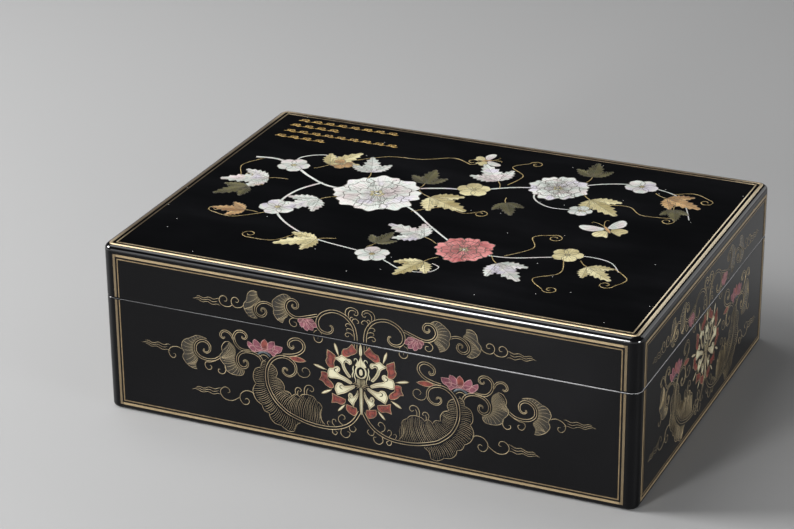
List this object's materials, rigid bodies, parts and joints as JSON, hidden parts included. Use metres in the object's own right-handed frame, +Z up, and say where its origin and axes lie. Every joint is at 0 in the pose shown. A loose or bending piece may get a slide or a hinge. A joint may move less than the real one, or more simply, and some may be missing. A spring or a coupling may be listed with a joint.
{
  "type": "games case with lift-out drawers",
  "caption": "Low rectangular lacquered games case with a lift-off lid, gold line borders and floral inlay, holding lift-out tile drawers under a divided counters tray.",
  "frame": {"origin": "centre of the underside, on the surface that the case stands on", "axes": "+X along the long front towards its right, +Y from the front to the back, +Z up"},
  "size_m": [0.3504, 0.2552, 0.1116],
  "materials": {
    "black_lacquer": "high gloss black lacquer on wooden boards",
    "red_lacquer": "satin red lacquer on thin wooden boards",
    "felt": "short wool felt",
    "gold_line": "satin gold line, slightly raised",
    "coloured_lacquer": "cream, red and pink lacquer paint, slightly raised",
    "shell_inlay": "polished mother of pearl and tinted shell"
  },
  "bodies": {
    "base": {"base_back_wall": "black_lacquer", "base_bottom": "black_lacquer", "base_felt": "felt", "base_front_wall": "black_lacquer", "base_gold_border": "gold_line", "base_left_wall": "black_lacquer", "base_medallions": "coloured_lacquer", "base_right_wall": "black_lacquer", "lip_back": "black_lacquer", "lip_front": "black_lacquer", "lip_left": "black_lacquer", "lip_right": "black_lacquer"},
    "lid": {"lid_back_wall": "black_lacquer", "lid_felt": "felt", "lid_front_wall": "black_lacquer", "lid_gold_border": "gold_line", "lid_left_wall": "black_lacquer", "lid_picture_inlay": "shell_inlay", "lid_right_wall": "black_lacquer", "lid_top": "black_lacquer", "lid_top_border": "gold_line"},
    "counters_tray": {"counters_tray_back_wall": "red_lacquer", "counters_tray_cross_divider_1": "red_lacquer", "counters_tray_cross_divider_2": "red_lacquer", "counters_tray_cross_divider_3": "red_lacquer", "counters_tray_cross_divider_4": "red_lacquer", "counters_tray_felt": "felt", "counters_tray_floor": "red_lacquer", "counters_tray_front_wall": "red_lacquer", "counters_tray_left_wall": "red_lacquer", "counters_tray_long_divider": "red_lacquer", "counters_tray_right_wall": "red_lacquer"},
    "lower_left_drawer": {"lower_left_drawer_back_wall": "red_lacquer", "lower_left_drawer_felt": "felt", "lower_left_drawer_floor": "red_lacquer", "lower_left_drawer_front_wall": "red_lacquer", "lower_left_drawer_left_wall": "red_lacquer", "lower_left_drawer_right_wall": "red_lacquer"},
    "lower_right_drawer": {"lower_right_drawer_back_wall": "red_lacquer", "lower_right_drawer_felt": "felt", "lower_right_drawer_floor": "red_lacquer", "lower_right_drawer_front_wall": "red_lacquer", "lower_right_drawer_left_wall": "red_lacquer", "lower_right_drawer_right_wall": "red_lacquer"},
    "upper_left_drawer": {"upper_left_drawer_back_wall": "red_lacquer", "upper_left_drawer_felt": "felt", "upper_left_drawer_floor": "red_lacquer", "upper_left_drawer_front_wall": "red_lacquer", "upper_left_drawer_left_wall": "red_lacquer", "upper_left_drawer_right_wall": "red_lacquer"},
    "upper_right_drawer": {"upper_right_drawer_back_wall": "red_lacquer", "upper_right_drawer_felt": "felt", "upper_right_drawer_floor": "red_lacquer", "upper_right_drawer_front_wall": "red_lacquer", "upper_right_drawer_left_wall": "red_lacquer", "upper_right_drawer_right_wall": "red_lacquer"}
  },
  "joints": [
    {"name": "lid_lift", "type": "slide", "parent": "base", "child": "lid", "axis": [0, 0, 1], "range_m": [0, 0.25]},
    {"name": "counters_tray_lift", "type": "slide", "parent": "base", "child": "counters_tray", "axis": [0, 0, 1], "range_m": [0, 0.1875]},
    {"name": "upper_left_drawer_lift", "type": "slide", "parent": "base", "child": "upper_left_drawer", "axis": [0, 0, 1], "range_m": [0, 0.125]},
    {"name": "upper_right_drawer_lift", "type": "slide", "parent": "base", "child": "upper_right_drawer", "axis": [0, 0, 1], "range_m": [0, 0.125]},
    {"name": "lower_left_drawer_lift", "type": "slide", "parent": "base", "child": "lower_left_drawer", "axis": [0, 0, 1], "range_m": [0, 0.09375]},
    {"name": "lower_right_drawer_lift", "type": "slide", "parent": "base", "child": "lower_right_drawer", "axis": [0, 0, 1], "range_m": [0, 0.09375]}
  ],
  "couplings": [
    {"joint": "counters_tray_lift", "follows": "lid_lift", "ratio": 0.75},
    {"joint": "upper_left_drawer_lift", "follows": "lid_lift", "ratio": 0.5},
    {"joint": "upper_right_drawer_lift", "follows": "lid_lift", "ratio": 0.5},
    {"joint": "lower_left_drawer_lift", "follows": "lid_lift", "ratio": 0.375},
    {"joint": "lower_right_drawer_lift", "follows": "lid_lift", "ratio": 0.375}
  ]
}
